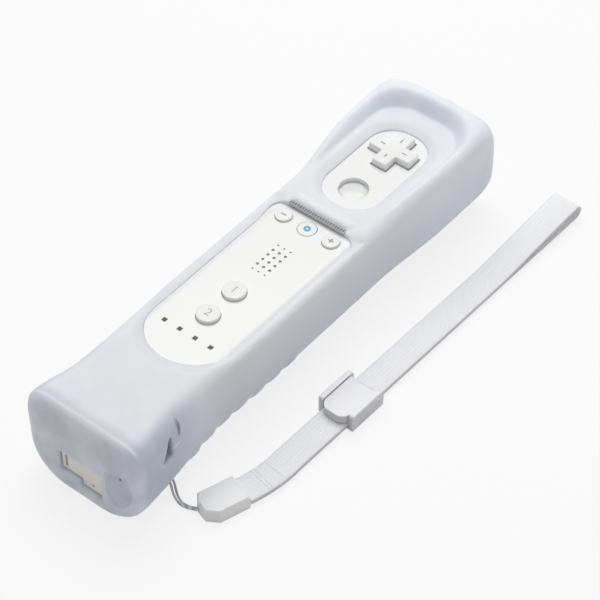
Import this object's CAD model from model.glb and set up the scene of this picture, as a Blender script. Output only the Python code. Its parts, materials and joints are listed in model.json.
import bpy
import json
import math
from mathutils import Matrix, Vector


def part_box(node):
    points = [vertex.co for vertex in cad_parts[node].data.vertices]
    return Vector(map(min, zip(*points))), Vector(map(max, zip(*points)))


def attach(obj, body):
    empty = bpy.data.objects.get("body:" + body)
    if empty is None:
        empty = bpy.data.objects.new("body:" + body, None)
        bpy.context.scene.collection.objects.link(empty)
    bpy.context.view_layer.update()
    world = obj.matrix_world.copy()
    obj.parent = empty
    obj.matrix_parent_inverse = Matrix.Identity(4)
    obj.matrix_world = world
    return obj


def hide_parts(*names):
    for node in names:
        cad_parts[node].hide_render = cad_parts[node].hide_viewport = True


# Motion controller wand in its silicone jacket, lying beside its wrist strap.
# Named sizes and places are in millimetres of the part's frame, and MM turns them into the scene's metres.
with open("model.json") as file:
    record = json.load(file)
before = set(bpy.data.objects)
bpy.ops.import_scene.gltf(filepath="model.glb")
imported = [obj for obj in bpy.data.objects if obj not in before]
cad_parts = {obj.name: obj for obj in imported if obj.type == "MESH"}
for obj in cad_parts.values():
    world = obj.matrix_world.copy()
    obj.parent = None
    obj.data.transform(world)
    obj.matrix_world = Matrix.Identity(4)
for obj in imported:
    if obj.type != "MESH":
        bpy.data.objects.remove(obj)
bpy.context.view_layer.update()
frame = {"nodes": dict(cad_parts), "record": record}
MM = 0.001


def top_of(node):
    """Middle of a CAD piece's upper side."""
    low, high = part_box(node)
    return (low.x + high.x) / 2 / MM, (low.y + high.y) / 2 / MM, high.z / MM


def ramp(value, none_at, full_at):
    """Share from 0 to 1 of the way between two values."""
    return min(1.0, max(0.0, (value - none_at) / (full_at - none_at)))


def eased(share):
    """A share that leaves 0 and reaches 1 gently."""
    return share * share * (3 - 2 * share)


def tone(code):
    """sRGB hex colour as the linear values that a shader takes."""
    parts = [int(code[i:i + 2], 16) / 255 for i in (1, 3, 5)]
    return (*[c / 12.92 if c <= 0.04045 else ((c + 0.055) / 1.055) ** 2.4 for c in parts], 1.0)


def add(tree, kind, inputs=None, **settings):
    """Adds one node with its settings, fills its inputs with values or links, and returns its outputs."""
    node = tree.nodes.new(kind)
    for name, value in settings.items():
        setattr(node, name, value)
    for name, value in (inputs or {}).items():
        if isinstance(value, bpy.types.NodeSocket):
            tree.links.new(value, node.inputs[name])
        else:
            node.inputs[name].default_value = value
    return node.outputs


def finish_of(name, **inputs):
    """Starts a material and returns it with its tree and its shader."""
    material = bpy.data.materials.new(name)
    material.use_nodes = True
    shader = material.node_tree.nodes["Principled BSDF"]
    for socket, value in inputs.items():
        shader.inputs[socket.replace("_", " ")].default_value = value
    return material, material.node_tree, shader


def object_place(tree):
    """A point's place on the object in millimetres, and the same on its three axes."""
    place = add(tree, "ShaderNodeTexCoord")["Object"]
    place = add(tree, "ShaderNodeVectorMath", {0: place, "Scale": 1 / MM}, operation="SCALE")[0]
    return place, add(tree, "ShaderNodeSeparateXYZ", {"Vector": place})


def away_from(tree, measure, value):
    """How far a measure is from a value, either way."""
    past = add(tree, "ShaderNodeMath", {0: measure, 1: value}, operation="SUBTRACT")[0]
    return add(tree, "ShaderNodeMath", {0: past}, operation="ABSOLUTE")[0]


def oval_reach(tree, place, centre, half, tilt=0.0):
    """How far a point lies from an oval's middle, 1 on its outline. A half size of 0 ignores its axis."""
    moved = add(tree, "ShaderNodeVectorMath", {0: place, 1: centre}, operation="SUBTRACT")[0]
    scale = [1 / size if size else 0.0 for size in half]
    turned = add(tree, "ShaderNodeMapping", {"Vector": moved, "Rotation": (tilt, 0, 0), "Scale": scale})[0]
    return add(tree, "ShaderNodeVectorMath", {0: turned}, operation="LENGTH")["Value"]


def waving(tree, measure, pitch, operation="SINE"):
    """A wave between -1 and 1 along a measure, repeating after a pitch."""
    turns = add(tree, "ShaderNodeMath", {0: measure, 1: 2 * math.pi / pitch}, operation="MULTIPLY")[0]
    return add(tree, "ShaderNodeMath", {0: turns}, operation=operation)[0]


def shown(tree, *fades):
    """Where a mark shows, from 0 to 1. Each fade is a measure, its value without the mark and in full."""
    share = None
    for measure, none_at, full_at in fades:
        limits = {"Value": measure, "From Min": none_at, "From Max": full_at}
        fade = add(tree, "ShaderNodeMapRange", limits)[0]
        if share is None:
            share = fade
        else:
            share = add(tree, "ShaderNodeMath", {0: share, 1: fade}, operation="MULTIPLY")[0]
    return share


def tinted(tree, base, *tints):
    """Lays tints over a base colour in turn. Each has its places, its strength and its colour."""
    colour = tone(base)
    for places, strength, code in tints:
        cover = add(tree, "ShaderNodeMath", {0: places, 1: strength}, operation="MULTIPLY")[0]
        colour = add(tree, "ShaderNodeMix", {0: cover, 6: colour, 7: tone(code)}, data_type="RGBA")[2]
    return colour


def surfaced(tree, shader, colour=None, height=None, depth=0.0):
    """Gives a shader its colours, and its relief by a pattern, this many metres from low to high."""
    if colour:
        tree.links.new(colour, shader.inputs["Base Color"])
    if height:
        bump = add(tree, "ShaderNodeBump", {"Height": height, "Distance": depth, "Strength": 1.0})[0]
        tree.links.new(bump, shader.inputs["Normal"])


def moulded_plastic(name, colour, roughness, low_colour=None, low_from=0.0):
    """Injection moulded plastic, with a faint waviness in its gloss. Below a height it may be greyer."""
    material, tree, shader = finish_of(name, Base_Color=tone(colour), Roughness=roughness, IOR=1.5)
    place, axes = object_place(tree)
    wave_size, wave_depth, shade_depth = 6, 0.004, 0.8
    wave = add(tree, "ShaderNodeTexNoise", {"Vector": place, "Scale": 1 / wave_size, "Detail": 2.0})[0]
    surfaced(tree, shader, height=wave, depth=wave_depth * MM)
    if low_colour:
        lower = shown(tree, (axes["Z"], low_from, low_from - shade_depth))
        surfaced(tree, shader, colour=tinted(tree, colour, (lower, 1.0, low_colour)))
    return material


def worked_metal(name, colour, roughness):
    """Bare or plated metal, with the fine marks of its making in its gloss."""
    material, tree, shader = finish_of(name, Base_Color=tone(colour), Metallic=1.0, Roughness=roughness)
    place = object_place(tree)[0]
    mark_size, mark_depth = 0.4, 0.002
    marks = add(tree, "ShaderNodeTexNoise", {"Vector": place, "Scale": 1 / mark_size, "Detail": 2.0})[0]
    surfaced(tree, shader, height=marks, depth=mark_depth * MM)
    return material


# Jacket: translucent silicone rubber from a satin mould. Light soaks in and softens every edge. The thin
# skin over the white wand is pale, and the thick blank end round the rear port is greyer and cloudy.
# Its surface has a fine grain, a broad swell this many times as deep, and marks deeper still.
CLOUD_SIZE = 13
GRAIN_SIZE = 0.5
GRAIN_DEPTH = 0.006
SWELL_SIZE = 11
SWELL_TIMES = 14
MARKS_TIMES = 55
TAIL_FOLD_Y = -88.6
TAIL_ROLL_Y = -87.3
PORT_PAD = (15.6, 0, 17.5)
PORT_PAD_HALF = (4.9, 0, 7.8)
DENT = (17.0, 0, 23.8)
DENT_HALF = (0.6, 0, 0.6)
TAB_GROOVE = (0, -69.8, 28.6)
TAB_GROOVE_HALF = (0, 0.95, 4.2)
TAB_HOOK = (0, -71.3, 22.9)
TAB_HOOK_HALF = (0, 2.6, 1.1)
silicone, tree, shader = finish_of(
    "silicone_rubber_satin",
    Roughness=0.48,
    IOR=1.41,
    Specular_IOR_Level=0.35,
    Subsurface_Weight=0.6,
    Subsurface_Scale=3.0 * MM,
)
shader.inputs["Subsurface Radius"].default_value = (1.0, 1.0, 1.1)
place, axes = object_place(tree)
noise = {"Vector": place, "Scale": 1 / CLOUD_SIZE, "Detail": 3.0, "Roughness": 0.55}
cloudy = (add(tree, "ShaderNodeTexNoise", noise)[0], 0.4, 0.68)
at_ends = (away_from(tree, axes["Y"], 0), 55, 90)
down_sides = (axes["Z"], 30, 10)
below_top = (axes["Z"], 34.9, 33.2)
above_side = (axes["Z"], 32.5, 34)
to_tail = (axes["Y"], -58, -80)
rear_edge = (axes["Y"], -87, -90)
rear_face = (axes["Y"], -86, -88)
flanks = (away_from(tree, axes["X"], 0), 16, 18)
roll = shown(tree, (away_from(tree, axes["Y"], TAIL_ROLL_Y), 2.8, 0), above_side)
fold = shown(tree, (away_from(tree, axes["Y"], TAIL_FOLD_Y), 0.6, 0.2), above_side)
# Oval pad moulded beside the port, with a small dent, and the pull tab moulded beside each release key
pad_reach = oval_reach(tree, place, PORT_PAD, PORT_PAD_HALF)
pad_inside = shown(tree, (pad_reach, 1.0, 0.9), rear_face)
pad_edge = shown(tree, (away_from(tree, pad_reach, 1.0), 0.14, 0), rear_face)
dent = shown(tree, (oval_reach(tree, place, DENT, DENT_HALF), 1.2, 0.5), rear_face)
groove = shown(tree, (oval_reach(tree, place, TAB_GROOVE, TAB_GROOVE_HALF, 0.15), 1.0, 0.4), flanks)
hook = shown(tree, (oval_reach(tree, place, TAB_HOOK, TAB_HOOK_HALF, 0.45), 1.0, 0.4), flanks)
hollows = add(tree, "ShaderNodeMath", {0: dent, 1: groove}, operation="MAXIMUM")[0]
ridges = add(tree, "ShaderNodeMath", {0: pad_edge, 1: hook}, operation="MAXIMUM")[0]
jacket_colour = tinted(
    tree,
    "#f1f4ff",
    (shown(tree, cloudy, at_ends), 1.0, "#e7ebf6"),
    (shown(tree, down_sides), 0.4, "#c2c7d6"),
    (shown(tree, below_top, to_tail), 1.0, "#d0d5e1"),
    (shown(tree, below_top, rear_edge), 1.0, "#ebeef8"),
    (shown(tree, below_top, to_tail, cloudy), 0.5, "#c0c5cc"),
    (roll, 0.4, "#b9bdc8"),
    (fold, 0.85, "#f4f6fc"),
    (pad_inside, 0.35, "#aab0bc"),
    (hollows, 0.8, "#7a7f89"),
    (hook, 0.85, "#f1f3f8"),
)
grain = add(tree, "ShaderNodeTexNoise", {"Vector": place, "Scale": 1 / GRAIN_SIZE, "Detail": 2.0})[0]
swell = add(tree, "ShaderNodeTexNoise", {"Vector": place, "Scale": 1 / SWELL_SIZE, "Detail": 2.0})[0]
skin = add(tree, "ShaderNodeMath", {0: swell, 1: SWELL_TIMES, 2: grain}, operation="MULTIPLY_ADD")[0]
marks = add(tree, "ShaderNodeMath", {0: ridges, 1: hollows}, operation="SUBTRACT")[0]
skin = add(tree, "ShaderNodeMath", {0: marks, 1: MARKS_TIMES, 2: skin}, operation="MULTIPLY_ADD")[0]
surfaced(tree, shader, jacket_colour, skin, GRAIN_DEPTH * MM)

# Large key: clear acrylic cap over grey-white, so it looks deeper than the housing
acrylic_key = finish_of(
    "acrylic_key_clear",
    Base_Color=tone("#e6e7e7"),
    Roughness=0.3,
    IOR=1.49,
    Coat_Weight=0.35,
    Coat_Roughness=0.1,
)[0]

# Indicator lights: small clear guides, grey and deep until they are lit
light_lens = finish_of(
    "acrylic_light_guide", Base_Color=tone("#55575b"), Roughness=0.35, IOR=1.49, Specular_IOR_Level=0.25
)[0]

# Ribbed strip: pale grey rubber with a dark row of short ribs along the middle of its top
STRIP_LENGTH = 22.6
STRIP_RIBS = 22
STRIP_Y = 21.7
strip_rubber, tree, shader = finish_of("rubber_strip_ribbed", Roughness=0.55)
place, axes = object_place(tree)
ribs = waving(tree, axes["X"], STRIP_LENGTH / STRIP_RIBS)
middle = away_from(tree, axes["Y"], STRIP_Y)
ribs = shown(tree, (ribs, -0.35, 0.05), (middle, 0.65, 0.45), (axes["Z"], 34.6, 34.8))
surfaced(tree, shader, tinted(tree, "#c6c8cc", (ribs, 1.0, "#2c2e32")))

# Band: white polyester webbing with a soft ribbed surface. Its threads are really about 0.5 mm apart, and
# they are drawn a little coarser so that they show. Both edges are a shade greyer.
BAND_WIDTH = 10.3
RIB_PITCH = 1.25
THREAD_PITCH = 0.62
THREAD_SLANT = 0.12
FUZZ_SIZE = 0.9
WEAVE_DEPTH = 0.022
band_weave, tree, shader = finish_of(
    "polyester_webbing_white",
    Roughness=0.75,
    Sheen_Weight=0.25,
    Sheen_Roughness=0.4,
    Specular_IOR_Level=0.3,
)
uv = add(tree, "ShaderNodeUVMap", uv_map="weave")[0]
cloth = add(tree, "ShaderNodeSeparateXYZ", {"Vector": uv})
ribs = waving(tree, cloth["X"], RIB_PITCH * MM, "COSINE")
slanting = {0: ribs, 1: THREAD_SLANT * MM, 2: cloth["Y"]}
slanting = add(tree, "ShaderNodeMath", slanting, operation="MULTIPLY_ADD")[0]
threads = waving(tree, slanting, THREAD_PITCH * MM)
weave = add(tree, "ShaderNodeMath", {0: ribs, 1: 0.8, 2: threads}, operation="MULTIPLY_ADD")[0]
fuzz = add(tree, "ShaderNodeTexNoise", {"Vector": uv, "Scale": 1 / (FUZZ_SIZE * MM), "Detail": 4.0})[0]
weave = add(tree, "ShaderNodeMath", {0: fuzz, 1: 1.2, 2: weave}, operation="MULTIPLY_ADD")[0]
off_middle = away_from(tree, cloth["X"], BAND_WIDTH / 2 * MM)
band_colour = tinted(
    tree,
    "#f2f2f6",
    (shown(tree, (weave, -1.6, 1.6)), 1.0, "#fdfdfe"),
    (shown(tree, (off_middle, 4.7 * MM, 5.0 * MM)), 0.6, "#d0d1d5"),
)
surfaced(tree, shader, band_colour, weave, WEAVE_DEPTH * MM)

# String: braided polyester cord, light grey. Its braid is drawn coarser than it is, so that it shows: a
# slanting wave of this size, which repeats about every 3 mm.
BRAID_SIZE = 5
BRAID_DEPTH = 0.05
cord_braid, tree, shader = finish_of("polyester_cord_grey", Roughness=0.7, Sheen_Weight=0.2)
place = object_place(tree)[0]
wave = {"Vector": place, "Scale": 1 / BRAID_SIZE, "Distortion": 0.6}
braid = add(tree, "ShaderNodeTexWave", wave, bands_direction="DIAGONAL")[1]
surfaced(tree, shader, tinted(tree, "#b7bac0", (braid, 1.0, "#e6e8ec")), braid, BRAID_DEPTH * MM)

# Module and covers: satin white ABS, duller than the wand's polished shell
abs_satin = moulded_plastic("abs_satin_white", "#ececea", 0.42)
MODULE_NODES = ("module_upper_shell", "module_lower_shell", "lock_slide")

# Printed marks: flat ink, grey or paler grey, and the blue ring of the centre key
grey_ink = moulded_plastic("pad_print_grey", "#9c9ea1", 0.5)
pale_ink = moulded_plastic("pad_print_pale", "#b9bbbd", 0.5)
blue_ink = moulded_plastic("pad_print_blue", "#4fa3d1", 0.4)

# Stitches: bright thread
thread_white = moulded_plastic("polyester_thread_white", "#f0f0f3", 0.6)

finishes = {
    "silicone": silicone,
    "key_clear": acrylic_key,
    "light_lens": light_lens,
    "strip_rubber": strip_rubber,
    "band_fabric": band_weave,
    "cord_fabric": cord_braid,
    # Wand's shell: polished white ABS with clear soft highlights
    "shell_white": moulded_plastic("abs_gloss_white", "#f4f4f3", 0.22),
    # Keys: the same white, a little softer gloss
    "key_white": moulded_plastic("abs_key_white", "#f2f2f1", 0.3),
    # Release keys: dark grey, seen deep in their cut-outs
    "release_grey": moulded_plastic("abs_release_grey", "#54575d", 0.5),
    # Rear port cover: cream and satin, warmer than all round it
    "port_cream": moulded_plastic("pp_cream_satin", "#f6f4ea", 0.45),
    # Strap's ferrule: near white polypropylene with a soft sheen
    "ferrule_plastic": moulded_plastic("pp_ferrule_grey", "#f1f1f1", 0.38),
    # Strap's slider: white acetal, glossy, greyer below its lever
    "slider_plastic": moulded_plastic("acetal_slider_white", "#eeeef1", 0.3, "#d2d2d6", 6.2),
    # Keypads: dull grey silicone sheet with domes
    "keypad_rubber": moulded_plastic("silicone_keypad_grey", "#9b9d9e", 0.6),
    # Circuit boards: green lacquer over glass fibre
    "board_green": moulded_plastic("fr4_lacquer_green", "#1f5a39", 0.35),
    # Speaker: matt black paper cone and frame
    "speaker_black": moulded_plastic("speaker_paper_black", "#18181a", 0.7),
    # Nose window: infrared acrylic, black and mirror smooth
    "dark_window": moulded_plastic("acrylic_infrared_dark", "#16151a", 0.08),
    # Camera: satin black nylon
    "camera_black": moulded_plastic("nylon_camera_black", "#111112", 0.5),
    # Connectors: off-white or black PBT, satin
    "connector_white": moulded_plastic("pbt_connector_white", "#e4e4df", 0.4),
    "connector_black": moulded_plastic("pbt_connector_black", "#1b1b1c", 0.45),
    # Pad's rocker: pale grey acetal with a waxy gloss
    "pivot_plastic": moulded_plastic("acetal_pivot_grey", "#c4c5c5", 0.4),
    # Power and sync keys: red ABS
    "power_red": moulded_plastic("abs_power_red", "#c23a3a", 0.3),
    "sync_red": moulded_plastic("abs_sync_red", "#c22f2f", 0.35),
    # Battery cells: plain grey shrink sleeve
    "cell_sleeve": moulded_plastic("cell_sleeve_grey", "#4a5058", 0.3),
    # Screws, pins and bar: bright plated steel
    "bright_steel": worked_metal("plated_steel_bright", "#c9c9c8", 0.25),
    # Battery contacts: nickel, a little warmer and brighter
    "contact_metal": worked_metal("nickel_contact_bright", "#cfccc4", 0.2),
    # Motor's can: drawn steel, greyer
    "motor_steel": worked_metal("drawn_steel_can", "#b4b4b4", 0.32),
    # Rumble weight: sintered, brown and dull
    "weight_brass": worked_metal("sintered_weight", "#b8a679", 0.5),
}
slot_of = {entry["node"]: entry["material_slot"] for entry in frame["record"]["subparts"]}
for node, piece in frame["nodes"].items():
    for slot in piece.material_slots:
        slot.material = abs_satin if node in MODULE_NODES else finishes[slot_of[node]]


def alone(piece):
    """Selects one piece only."""
    bpy.ops.object.select_all(action="DESELECT")
    piece.select_set(True)
    bpy.context.view_layer.objects.active = piece


def modified(piece, kind, **settings):
    """Adds a modifier with its settings and applies it."""
    alone(piece)
    modifier = piece.modifiers.new(kind.lower(), kind)
    for name, value in settings.items():
        setattr(modifier, name, value)
    bpy.ops.object.modifier_apply(modifier=modifier.name)


def weighted(piece, name, weight_at):
    """A vertex group whose weights a rule works out from each point's place."""
    group = piece.vertex_groups.new(name=name)
    for vertex in piece.data.vertices:
        weight = weight_at(*[value / MM for value in vertex.co])
        if weight > 0:
            group.add([vertex.index], weight, "REPLACE")


def copy_of(node, name):
    """A copy of a CAD piece with its corners merged, to be worked on."""
    source = frame["nodes"][node]
    piece = source.copy()
    piece.data = source.data.copy()
    piece.name = name
    piece.parent = None
    bpy.context.scene.collection.objects.link(piece)
    alone(piece)
    bpy.ops.object.mode_set(mode="EDIT")
    bpy.ops.mesh.select_all(action="SELECT")
    bpy.ops.mesh.remove_doubles(threshold=0.001 * MM)
    bpy.ops.object.mode_set(mode="OBJECT")
    return piece


def placed(piece, name, body, material, slot):
    """Names a piece, puts its place in its mesh, and lets it ride on a body."""
    piece.name = name
    alone(piece)
    bpy.ops.object.transform_apply(location=True, rotation=True, scale=True)
    piece.data.materials.clear()
    piece.data.materials.append(material)
    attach(piece, body)
    return piece


def block(name, centre, size):
    """A plain block round a centre."""
    bpy.ops.object.select_all(action="DESELECT")
    bpy.ops.mesh.primitive_cube_add(size=1, location=[value * MM for value in centre])
    piece = bpy.context.object
    piece.name = name
    piece.scale = [value * MM for value in size]
    bpy.ops.object.transform_apply(location=False, rotation=False, scale=True)
    return piece


def joined(pieces):
    """Joins pieces into the first one, with its place in its mesh."""
    for piece in pieces:
        alone(piece)
        bpy.ops.object.transform_apply(location=True, rotation=True, scale=True)
    alone(pieces[0])
    for piece in pieces:
        piece.select_set(True)
    bpy.ops.object.join()
    return pieces[0]


# Jacket, softened all over as a moulded silicone skin is. A small block steps the port's opening, as its
# cover is stepped.
SKIN_VOXEL = 0.5
PORT_STEP = (-4.875, -91.275, 8.25)
PORT_STEP_SIZE = (9.05, 3.35, 3.3)
jacket = joined([copy_of("jacket", "jacket_skin"), block("port_step", PORT_STEP, PORT_STEP_SIZE)])
voxel = SKIN_VOXEL
modified(jacket, "REMESH", mode="VOXEL", voxel_size=voxel * MM, adaptivity=0.0)
modified(jacket, "SMOOTH", factor=0.5, iterations=5)

# The skin sits down on the face round both windows and thins out towards them, except beside the ribbed
# strip. A ramp in a rule below runs from where its part of the weight is absent to where it is full.
OVAL_Y = 52.0
OVAL_HALF_WIDTH = 10.6
OVAL_HALF_LENGTH = 20.75
OVAL_CORNER = 9.4
LONG_HALF_WIDTH = 16.3
LONG_FRONT = 20.95
LONG_ARC_START = -40.25
LONG_REAR = -54.25
arc_depth = LONG_ARC_START - LONG_REAR
arc_radius = (LONG_HALF_WIDTH ** 2 + arc_depth ** 2) / (2 * arc_depth)
SKIN_LOW = 32.8
SKIN_HIGH = 34.9


def from_rims(x, y):
    """Distances in plan from the rims of the oval window and of the long one, negative inside them."""
    beside = max(abs(x) - OVAL_HALF_WIDTH + OVAL_CORNER, 0)
    beyond = max(abs(y - OVAL_Y) - OVAL_HALF_LENGTH + OVAL_CORNER, 0)
    from_oval = math.hypot(beside, beyond) - OVAL_CORNER
    if y > LONG_ARC_START:
        return from_oval, max(abs(x) - LONG_HALF_WIDTH, y - LONG_FRONT)
    return from_oval, math.hypot(x, y - LONG_REAR - arc_radius) - arc_radius


def between_ends(y):
    """How far a place is inside the stretch beside the long window, from 0 outside to 1 well inside."""
    return ramp(y, 18, 10) * ramp(y, -52, -40)


def seat_weight(x, y, z):
    """Where the skin sits down onto the face: close to both rims."""
    if z < SKIN_LOW:
        return 0
    reach = min(abs(distance) for distance in from_rims(x, y))
    return ramp(z, SKIN_HIGH, 34.2) * ramp(reach, 2.2, 1.2)


def lip_weight(x, y, z):
    """Where the skin thins out: towards both rims, off the strip."""
    if z < SKIN_LOW:
        return 0
    reach = min(abs(distance) for distance in from_rims(x, y))
    off_strip = max(ramp(abs(x), 11.8, 15.8), ramp(abs(y - 22.6), 3.6, 6.6))
    return eased(ramp(reach, 4, 0) * ramp(z, 33.6, 35.1) * off_strip)


def drawn_weight(x, y, z):
    """Where the skin is drawn over the long window's left edge."""
    if z < SKIN_LOW or x >= 0:
        return 0
    return eased(ramp(abs(from_rims(x, y)[1]), 4.5, 0)) * between_ends(y)


def rim_weight(x, y, z):
    """Where the skin's upper sides are rounded: beside the long window."""
    return between_ends(y) if z >= SKIN_LOW and abs(x) > 16.6 else 0


def nose_weight(x, y, z):
    """Where the nose is rounded: its rim and its sides."""
    return max(ramp(z, 36.5, 39), ramp(abs(x), 18.5, 21)) * ramp(y, 40, 55)


def tail_weight(x, y, z):
    """Where the tail's upper edge rolls over."""
    return ramp(y, -83.5, -87.5) * ramp(z, 32, 35)


weighted(jacket, "seat", seat_weight)
weighted(jacket, "lip", lip_weight)
weighted(jacket, "drawn_over", drawn_weight)
weighted(jacket, "rounded_rim", rim_weight)
for group, direction, move in (("seat", "Z", -0.6), ("drawn_over", "X", 1.4), ("lip", "Z", -1.05)):
    modified(jacket, "DISPLACE", direction=direction, mid_level=0.0, strength=move * MM, vertex_group=group)
modified(jacket, "SMOOTH", factor=0.5, iterations=45, vertex_group="rounded_rim")

# The nose's rim and sides are rounder still, and the tail's upper edge rolls over wide
weighted(jacket, "nose", nose_weight)
modified(jacket, "SMOOTH", factor=0.5, iterations=110, vertex_group="nose")
weighted(jacket, "tail_edge", tail_weight)
modified(jacket, "SMOOTH", factor=0.5, iterations=55, vertex_group="tail_edge")

# A cage draws the upper edges in ahead of the tail's flare, draws the nose's upper corners back and down,
# and lifts the middle of its front edge. It has these numbers of points across, along and up, at these steps.
CAGE_COUNTS = (5, 20, 4)
CAGE_STEPS = (12, 10, 15)
CAGE_Z = 20.5
OUTWARD_AT = {0: 0.8, 1: 1.3, 2: -2.2, 3: -1.5, 4: -0.6}
cage_data = bpy.data.lattices.new("cage")
cage_data.points_u, cage_data.points_v, cage_data.points_w = CAGE_COUNTS
cage = bpy.data.objects.new("cage", cage_data)
bpy.context.scene.collection.objects.link(cage)
cage.location = (0, 0, CAGE_Z * MM)
cage.scale = [step * MM for step in CAGE_STEPS]
across_count, along_count, level_count = CAGE_COUNTS
top_level = level_count - 1
front_row = along_count - 1
for index, point in enumerate(cage_data.points):
    across = index % across_count
    row = index // across_count % along_count
    level = index // across_count // along_count
    side = 2 * across / (across_count - 1) - 1
    move = Vector((0, 0, 0))
    if level >= top_level - 1 and row in OUTWARD_AT:
        move.x = side * OUTWARD_AT[row]
    if level == top_level and row <= 1:
        move.z = 0.5
    if level == top_level and row == front_row - 1:
        move.z = -0.3
    if level == top_level and row == front_row:
        move = Vector((-side * 1.8, 0.6 - 2.4 * abs(side) ** 1.4, 0.9 - 2.7 * abs(side) ** 1.6))
    point.co_deform = point.co_deform + Vector([shift / step for shift, step in zip(move, CAGE_STEPS)])
cage_data.update_tag()
bpy.context.view_layer.update()
modified(jacket, "LATTICE", object=cage)
bpy.data.objects.remove(cage)
modified(jacket, "DECIMATE", ratio=0.33)
alone(jacket)
bpy.ops.object.shade_smooth()
placed(jacket, "jacket_skin", "controller", silicone, "silicone")
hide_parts("jacket")

# Large key: a low clear dome on its flange, deep in its well. Its last ring stops just short of the middle.
FLANGE_RADIUS = 5.9
FLANGE_HEIGHT = 0.8
FLANGE_TOP = 31.6
CROWN_RADIUS = 4.7
CROWN_HEIGHT = 1.0
CROWN_STEPS = 9
key_y = top_of("a_button")[1]
bpy.ops.object.select_all(action="DESELECT")
bpy.ops.mesh.primitive_cylinder_add(
    vertices=64,
    radius=FLANGE_RADIUS * MM,
    depth=FLANGE_HEIGHT * MM,
    location=(0, key_y * MM, (FLANGE_TOP - FLANGE_HEIGHT / 2) * MM),
)
dome = bpy.context.object
bpy.ops.object.transform_apply(location=True, rotation=False, scale=False)
bpy.ops.object.mode_set(mode="EDIT")
bpy.ops.mesh.select_mode(type="FACE")
bpy.ops.mesh.select_all(action="DESELECT")
bpy.ops.object.mode_set(mode="OBJECT")
for face in dome.data.polygons:
    face.select = face.normal.z > 0.9
bpy.ops.object.mode_set(mode="EDIT")
bpy.ops.mesh.inset(thickness=(FLANGE_RADIUS - CROWN_RADIUS) * MM)
turns = [0] + [math.radians(90 * step / CROWN_STEPS - 0.3) for step in range(1, CROWN_STEPS + 1)]
for low_turn, high_turn in zip(turns, turns[1:]):
    rise = CROWN_HEIGHT * (math.sin(high_turn) - math.sin(low_turn))
    bpy.ops.mesh.extrude_region_move(TRANSFORM_OT_translate={"value": (0, 0, rise * MM)})
    narrower = math.cos(high_turn) / math.cos(low_turn)
    crown_middle = (0, key_y * MM, FLANGE_TOP * MM)
    bpy.ops.transform.resize(value=(narrower, narrower, 1), center_override=crown_middle)
bpy.ops.object.mode_set(mode="OBJECT")
bpy.ops.object.shade_smooth_by_angle(angle=math.radians(40))
placed(dome, "large_key_dome", "large_key", acrylic_key, "key_clear")
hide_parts("a_button")

# Keys are widened from the bottoms of their holes in the face upwards
HOLE_BOTTOM_Z = 33.0

# Strap in plan: the ferrule's mouth, lean and far shoulder, and the middle line of the straight band
SHOULDER_FROM = 9.8
SHOULDER_TO = 11.8
SHOULDER_ASIDE = 4
FERRULE_LEAN = math.radians(18)
BAND_LEAN = math.radians(1.35)
mouth = Vector((36.2, -60.4, 0)) * MM
anchor = Vector((39.9, -10.8, 0)) * MM
ferrule_along = Vector((math.sin(FERRULE_LEAN), math.cos(FERRULE_LEAN), 0))
band_along = Vector((math.sin(BAND_LEAN), math.cos(BAND_LEAN), 0))
band_across = Vector((math.cos(BAND_LEAN), -math.sin(BAND_LEAN), 0))


def above_face(spot):
    """Whether a point of a key stands in its hole or above it."""
    return spot.z > HOLE_BOTTOM_Z * MM


def far_corner(spot):
    """Whether a point of the ferrule belongs to its far shoulder, on the left of its rear part."""
    aside = spot - mouth
    back = -aside.dot(ferrule_along)
    across = aside.x * ferrule_along.y - aside.y * ferrule_along.x
    return SHOULDER_FROM * MM < back < SHOULDER_TO * MM and across < -SHOULDER_ASIDE * MM


def softened(node, body, width, chosen=None, move=(0, 0, 0), widen=0.0):
    """A CAD piece with its sharp edges rounded, which replaces it. Chosen points are moved and spread."""
    slot = slot_of[node]
    piece = copy_of(node, node + "_soft")
    if chosen:
        bpy.ops.object.mode_set(mode="EDIT")
        bpy.ops.mesh.select_mode(type="VERT")
        bpy.ops.mesh.select_all(action="DESELECT")
        bpy.ops.object.mode_set(mode="OBJECT")
        for vertex in piece.data.vertices:
            vertex.select = chosen(vertex.co)
        spots = [vertex.co for vertex in piece.data.vertices if vertex.select]
        low = Vector([min(spot[axis] for spot in spots) for axis in range(3)])
        high = Vector([max(spot[axis] for spot in spots) for axis in range(3)])
        spread = 1 + 2 * widen * MM / (high.x - low.x)
        bpy.ops.object.mode_set(mode="EDIT")
        bpy.ops.transform.translate(value=[value * MM for value in move])
        bpy.ops.transform.resize(value=(spread, spread, 1), center_override=(low + high) / 2)
        bpy.ops.object.mode_set(mode="OBJECT")
    angle = math.radians(35)
    modified(piece, "BEVEL", width=width * MM, segments=4, limit_method="ANGLE", angle_limit=angle)
    alone(piece)
    bpy.ops.object.shade_smooth_by_angle(angle=angle)
    placed(piece, node + "_soft", body, finishes[slot], slot)
    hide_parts(node)
    return piece


for key, width in (("one", 0.6), ("two", 0.6), ("minus", 0.35), ("plus", 0.35), ("home", 0.2)):
    softened(key + "_button", key + "_key", width, above_face, widen=0.16)
softened("ferrule", "controller", 0.45, far_corner, move=(-0.56, -1.71, 0))
softened("slider_body", "strap_slider", 0.5)
softened("slider_lever", "strap_lever", 0.4)

# Direction pad, its arms' corners and all its edges worn round
PAD_SPAN = 16.8
PAD_ARM = 5.9
pad_x, pad_y, pad_top = top_of("dpad")
pad = softened("dpad", "direction_pad", 0.85, above_face, widen=0.2)


def corner_weight(x, y, z):
    """Where the pad is worn round: near its arms' corners."""
    across, along = sorted((abs(x - pad_x), abs(y - pad_y)))
    return ramp(math.hypot(across - PAD_ARM / 2, along - PAD_SPAN / 2), 2.2, 1.1)


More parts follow.
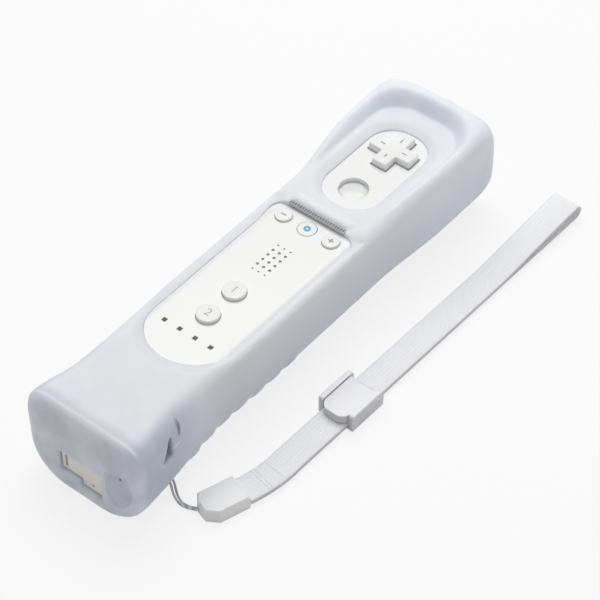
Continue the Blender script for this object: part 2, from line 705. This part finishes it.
modified(pad, "REMESH", mode="VOXEL", voxel_size=0.12 * MM, adaptivity=0.0)
weighted(pad, "corners", corner_weight)
modified(pad, "SMOOTH", factor=0.5, iterations=90, use_z=False, vertex_group="corners")
modified(pad, "SMOOTH", factor=0.5, iterations=8)
modified(pad, "DECIMATE", ratio=0.2)
alone(pad)
bpy.ops.object.shade_smooth()

# Band: one woven length, laid double from the ferrule to the slider and open in a loop at the far end
BAND_LAYER = 0.9
BAND_START = -50.0
BAND_KNEE = -31.0
BAND_TURN = 19.5
BAND_LEAD_OUT = 11
BAND_END = 114.9
LOWER_Z = 1.27
UPPER_Z = 2.2
LOOP_START = 68.8
LOOP_TOP_Z = 5.7
LOOP_STRETCH = 1.15
BAND_STEPS = 150
BEND_STEPS = 16
ROUND_STEPS = 6


def band_line(along):
    """Point and sideways direction of the band's middle in plan, at a distance along it in metres."""
    if along >= BAND_KNEE * MM:
        return anchor + band_along * along, band_across
    knee = anchor + band_along * BAND_KNEE * MM
    corner = mouth + ferrule_along * BAND_LEAD_OUT * MM
    share = min(1.0, (BAND_KNEE * MM - along) / (BAND_TURN * MM))
    first = knee.lerp(corner, share)
    second = corner.lerp(mouth, share)
    heading = (first - second).normalized()
    return first.lerp(second, share), Vector((heading.y, -heading.x, 0))


def band_stations():
    """Distances along the line and heights: out in the upper layer, round the end, back in the lower one."""
    start, end = BAND_START * MM, BAND_END * MM
    low, high, top = LOWER_Z * MM, UPPER_Z * MM, LOOP_TOP_Z * MM
    rows = []
    for step in range(BAND_STEPS):
        along = start + (end - start) * step / BAND_STEPS
        rise = eased(ramp(along, LOOP_START * MM, end))
        rows.append((along, high + (top - high) * rise))
    radius = (top - low) / 2
    for step in range(BEND_STEPS + 1):
        turn = math.pi / 2 - math.pi * step / BEND_STEPS
        along = end + LOOP_STRETCH * radius * math.cos(turn)
        rows.append((along, low + radius + radius * math.sin(turn)))
    for step in range(1, BAND_STEPS + 1):
        rows.append((end - (end - start) * step / BAND_STEPS, low))
    return rows


def band_outline():
    """Cross-section of one layer: flat, with round edges. Sideways place and height of each point."""
    half, round_edge = BAND_WIDTH / 2 * MM, BAND_LAYER / 2 * MM
    outline = []
    for edge, first_turn in ((1, math.pi / 2), (-1, -math.pi / 2)):
        for step in range(ROUND_STEPS + 1):
            turn = first_turn - math.pi * step / ROUND_STEPS
            aside = edge * (half - round_edge) + round_edge * math.cos(turn)
            outline.append((aside, round_edge * math.sin(turn)))
    return outline


def make_band():
    """The band's closed tube of cloth, with its lengths of cloth as a UV map."""
    line = []
    for along, height in band_stations():
        point, sideways = band_line(along)
        line.append((Vector((point.x, point.y, height)), sideways))
    lengths = [0.0]
    for (before, _), (here, _) in zip(line, line[1:]):
        lengths.append(lengths[-1] + (here - before).length)
    outline = band_outline()
    ring = len(outline)
    last = len(line) - 1
    vertices = []
    for i, (point, sideways) in enumerate(line):
        heading = (line[min(last, i + 1)][0] - line[max(0, i - 1)][0]).normalized()
        up = sideways.cross(heading).normalized()
        vertices += [point + sideways * aside + up * height for aside, height in outline]
    faces = [tuple(range(ring)), tuple(last * ring + j for j in reversed(range(ring)))]
    for i in range(last):
        for j in range(ring):
            k = (j + 1) % ring
            faces.append((i * ring + j, i * ring + k, (i + 1) * ring + k, (i + 1) * ring + j))
    mesh = bpy.data.meshes.new("band_loop")
    mesh.from_pydata(vertices, [], faces)
    layer = mesh.uv_layers.new(name="weave")
    for loop in mesh.loops:
        aside = outline[loop.vertex_index % ring][0] + BAND_WIDTH / 2 * MM
        layer.data[loop.index].uv = (aside, lengths[loop.vertex_index // ring])
    piece = bpy.data.objects.new("band_loop", mesh)
    bpy.context.scene.collection.objects.link(piece)
    alone(piece)
    bpy.ops.object.mode_set(mode="EDIT")
    bpy.ops.mesh.select_all(action="SELECT")
    bpy.ops.mesh.normals_make_consistent(inside=False)
    bpy.ops.object.mode_set(mode="OBJECT")
    bpy.ops.object.shade_smooth_by_angle(angle=math.radians(40))
    return piece


band = placed(make_band(), "band_loop", "controller", band_weave, "band_fabric")
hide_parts("webbing")

# Stitches that hold the band's two layers together beside the ferrule, all copied from one
STITCH_SIZE = (1.1, 0.42, 0.24)
STITCH_SLANT = math.radians(18)
STITCH_ROWS = (6.3, 7.5, 12.4)
STITCH_PITCH = 1.35
STITCHES_IN_ROW = 7
first_stitch = block("stitch", (0, 0, 0), STITCH_SIZE)
modified(first_stitch, "BEVEL", width=0.11 * MM, segments=3)
bpy.ops.object.shade_smooth()
stitches = []
for row in STITCH_ROWS:
    point, sideways = band_line((BAND_START + row) * MM)
    for number in range(STITCHES_IN_ROW):
        aside = (number - (STITCHES_IN_ROW - 1) / 2) * STITCH_PITCH
        stitch = first_stitch.copy()
        stitch.data = first_stitch.data.copy()
        bpy.context.scene.collection.objects.link(stitch)
        stitch.location = point + sideways * aside * MM + Vector((0, 0, (UPPER_Z + BAND_LAYER / 2) * MM))
        stitch.rotation_euler.z = math.atan2(sideways.y, sideways.x) + STITCH_SLANT
        stitches.append(stitch)
bpy.data.objects.remove(first_stitch)
placed(joined(stitches), "band_stitches", "controller", thread_white, "band_fabric")

# String: two strands out of the jacket into the ferrule
STRAND_RADIUS = 0.38
STRAND_ROUTES = {
    "rear": (
        (11.2, -71.4, 8.3), (16.9, -71.4, 4.0), (20.9, -74.4, 1.1), (26.2, -75.6, 0.7), (31.2, -73.3, 1.7)
    ),
    "front": (
        (11.2, -70.0, 8.3), (17.1, -70.0, 3.9), (21.5, -73.5, 1.1), (26.4, -74.8, 0.8), (30.9, -72.6, 1.7)
    ),
}
for which, points in STRAND_ROUTES.items():
    node = "strap_string_" + which
    route = bpy.data.curves.new(node + "_cord", "CURVE")
    route.dimensions = "3D"
    route.bevel_depth = STRAND_RADIUS * MM
    route.bevel_resolution = 6
    spline = route.splines.new("NURBS")
    spline.points.add(len(points) - 1)
    for knot, point in zip(spline.points, points):
        knot.co = (*[value * MM for value in point], 1.0)
    spline.order_u = 3
    spline.use_endpoint_u = True
    spline.use_smooth = True
    route.resolution_u = 12
    route.use_fill_caps = True
    strand = bpy.data.objects.new(node + "_cord", route)
    bpy.context.scene.collection.objects.link(strand)
    route.materials.append(cord_braid)
    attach(strand, "controller")
    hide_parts(node)

# Marks printed on the pad and the keys, with their lower sides set into the surface
PRINT_DEPTH = 0.08
PRINT_RISE = 0.01
DASH = (0.36, 3.0)
SIGN = (0.5, 2.0)
DASH_REACH = 5
DISH_AT_DASH = 0.08


def bar_mark(name, body, centre, size):
    """A flat printed bar with rounded corners."""
    mark = block(name, centre, (*size, PRINT_DEPTH))
    modified(mark, "BEVEL", width=0.03 * MM, segments=2)
    placed(mark, name, body, grey_ink, "key_white")


for name, aside, ahead in (("front", 0, 1), ("rear", 0, -1), ("right", 1, 0), ("left", -1, 0)):
    centre = (pad_x + aside * DASH_REACH, pad_y + ahead * DASH_REACH, pad_top - DISH_AT_DASH)
    bar_mark("pad_mark_" + name, "direction_pad", centre, DASH if ahead else reversed(DASH))
for name, key, size, rise in (
    ("minus_sign", "minus", reversed(SIGN), PRINT_RISE),
    ("plus_sign_bar", "plus", reversed(SIGN), PRINT_RISE),
    ("plus_sign_post", "plus", SIGN, 1.5 * PRINT_RISE),
):
    key_x, key_y, key_top = top_of(key + "_button")
    bar_mark(name, key + "_key", (key_x, key_y, key_top + rise), size)

# Centre key's ring: a thin disc with its middle taken out
RING_RADIUS = 1.21
RING_WIDTH = 0.72
RING_RISE = 0.1
key_x, key_y, key_top = top_of("home_button")
bpy.ops.object.select_all(action="DESELECT")
bpy.ops.mesh.primitive_circle_add(
    vertices=40, radius=RING_RADIUS * MM, fill_type="NGON", location=(key_x * MM, key_y * MM, key_top * MM)
)
ring = bpy.context.object
bpy.ops.object.mode_set(mode="EDIT")
bpy.ops.mesh.select_mode(type="FACE")
bpy.ops.mesh.inset(thickness=RING_WIDTH * MM)
bpy.ops.mesh.delete(type="FACE")
bpy.ops.mesh.select_all(action="SELECT")
bpy.ops.mesh.extrude_region_move(TRANSFORM_OT_translate={"value": (0, 0, RING_RISE * MM)})
bpy.ops.mesh.select_all(action="SELECT")
bpy.ops.mesh.normals_make_consistent(inside=False)
bpy.ops.object.mode_set(mode="OBJECT")
modified(ring, "BEVEL", width=0.02 * MM, segments=2, limit_method="ANGLE", angle_limit=math.radians(40))
placed(ring, "home_ring", "home_key", blue_ink, "key_white")

# Plain numerals on the two lower keys
NUMERAL_SIZE = 4.2
for name, key, text in (("numeral_one", "one", "1"), ("numeral_two", "two", "2")):
    words = bpy.data.curves.new(name, "FONT")
    words.body = text
    words.size = NUMERAL_SIZE * MM
    words.align_x = "CENTER"
    words.align_y = "CENTER"
    words.extrude = PRINT_DEPTH / 2 * MM
    numeral = bpy.data.objects.new(name, words)
    bpy.context.scene.collection.objects.link(numeral)
    key_x, key_y, key_top = top_of(key + "_button")
    numeral.location = [value * MM for value in (key_x, key_y, key_top + PRINT_RISE)]
    alone(numeral)
    bpy.ops.object.convert(target="MESH")
    placed(bpy.context.object, name, key + "_key", pale_ink, "key_white")


def seen_directly(tree):
    """1 for what is seen, straight, in a reflection or through glass, and 0 for what only gives light."""
    path = add(tree, "ShaderNodeLightPath")
    seen = path["Is Camera Ray"]
    for ray in ("Is Glossy Ray", "Is Transmission Ray"):
        seen = add(tree, "ShaderNodeMath", {0: seen, 1: path[ray]}, operation="MAXIMUM")[0]
    return seen


# Floor: white, with the object's soft shadow
FLOOR_SIZE = 6000
FLOOR_GLOW = 0.8
bpy.ops.object.select_all(action="DESELECT")
bpy.ops.mesh.primitive_plane_add(size=FLOOR_SIZE * MM, location=(0, 0, 0))
floor = bpy.context.object
floor.name = "floor"
paper = bpy.data.materials.new("paper_floor_white")
paper.use_nodes = True
tree = paper.node_tree
tree.nodes.clear()
lit = add(tree, "ShaderNodeBsdfDiffuse", {"Color": tone("#f4f4f6")})[0]
glow = add(tree, "ShaderNodeEmission", {"Color": tone("#ffffff"), "Strength": 1.0})[0]
share = add(tree, "ShaderNodeMath", {0: seen_directly(tree), 1: FLOOR_GLOW}, operation="MULTIPLY")[0]
blend = add(tree, "ShaderNodeMixShader", {0: share, 1: lit, 2: glow})[0]
add(tree, "ShaderNodeOutputMaterial", {"Surface": blend})
floor.data.materials.append(paper)

# Studio: an even white surround, which lights the object with less than it shows
SURROUND_LIGHT = 0.38
world = bpy.data.worlds.new("studio")
bpy.context.scene.world = world
world.use_nodes = True
tree = world.node_tree
tree.nodes.clear()
levels = {"Value": seen_directly(tree), "To Min": SURROUND_LIGHT, "To Max": 1.0}
level = add(tree, "ShaderNodeMapRange", levels)[0]
sky = add(tree, "ShaderNodeBackground", {"Color": tone("#ffffff"), "Strength": level})[0]
add(tree, "ShaderNodeOutputWorld", {"Surface": sky})


def lamp(name, spot, target, size, power):
    """A square soft lamp that points at a place, with its power in watts."""
    light = bpy.data.lights.new(name, "AREA")
    light.size = size * MM
    light.energy = power
    holder = bpy.data.objects.new(name, light)
    bpy.context.scene.collection.objects.link(holder)
    holder.location = Vector(spot) * MM
    holder.rotation_euler = (Vector(target) - Vector(spot)).to_track_quat("-Z", "Y").to_euler()


# A broad lamp above and to the left, and a faint small one that lifts the nose's side
lamp("lamp_above", (-220, 300, 850), (0, 0, 0), 700, 5.2)
lamp("lamp_side", (300, 200, 120), (20, 85, 20), 120, 0.05)

# Camera, at the photograph's place and angle
CAMERA_PLACE = (330.78, -401.31, 559.78)
CAMERA_TURN = (43.604, -0.333, 38.831)
view = bpy.data.cameras.new("camera")
camera = bpy.data.objects.new("camera", view)
bpy.context.scene.collection.objects.link(camera)
view.sensor_width = 36
view.lens = 140.32
view.shift_x = -0.0059
view.shift_y = 0.0007
view.clip_start = 0.05
view.clip_end = 20
camera.location = [value * MM for value in CAMERA_PLACE]
camera.rotation_euler = [math.radians(angle) for angle in CAMERA_TURN]
bpy.context.scene.camera = camera
bpy.context.scene.view_settings.view_transform = "Standard"
